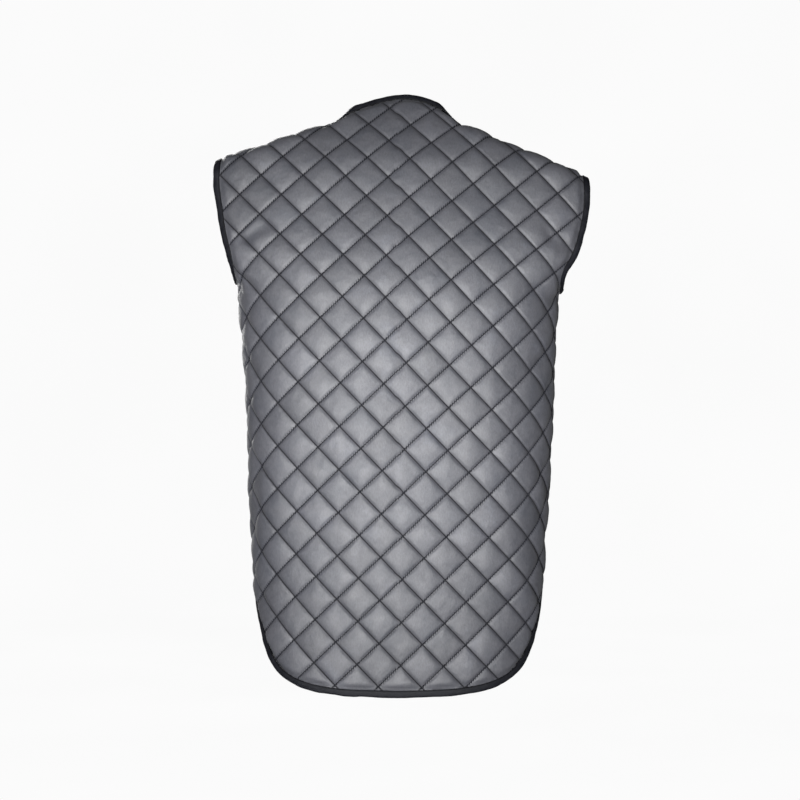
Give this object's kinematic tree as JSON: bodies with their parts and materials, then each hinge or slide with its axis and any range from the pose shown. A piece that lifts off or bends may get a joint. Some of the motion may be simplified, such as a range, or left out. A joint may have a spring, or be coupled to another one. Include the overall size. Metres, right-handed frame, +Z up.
{
  "type": "quilted gilet",
  "caption": "Sleeveless diamond-quilted body warmer with bound edges and a press-stud front, filled out hollow as worn.",
  "frame": {"origin": "midway between the side-neck points, on the shoulder line that the wearer's shoulders carry", "axes": "+Z up, front faces -Y, +X is the wearer's left"},
  "size_m": [0.4818, 0.237, 0.7677],
  "materials": {
    "quilted_cloth": "satin woven shell, quilted",
    "binding": "fine woven bias tape",
    "stud_metal": "dark satin"
  },
  "bodies": {
    "root": {"back": "quilted_cloth", "front_left": "quilted_cloth", "front_right": "quilted_cloth", "neck_binding": "binding", "hem_binding": "binding", "front_binding_left": "binding", "front_binding_right": "binding", "armhole_binding_left": "binding", "armhole_binding_right": "binding", "stud_cap_1": "stud_metal", "stud_socket_1": "stud_metal", "stud_post_1": "stud_metal", "stud_cap_2": "stud_metal", "stud_socket_2": "stud_metal", "stud_post_2": "stud_metal", "stud_cap_3": "stud_metal", "stud_socket_3": "stud_metal", "stud_post_3": "stud_metal", "stud_cap_4": "stud_metal", "stud_socket_4": "stud_metal", "stud_post_4": "stud_metal", "stud_cap_5": "stud_metal", "stud_socket_5": "stud_metal", "stud_post_5": "stud_metal"}
  },
  "joints": []
}
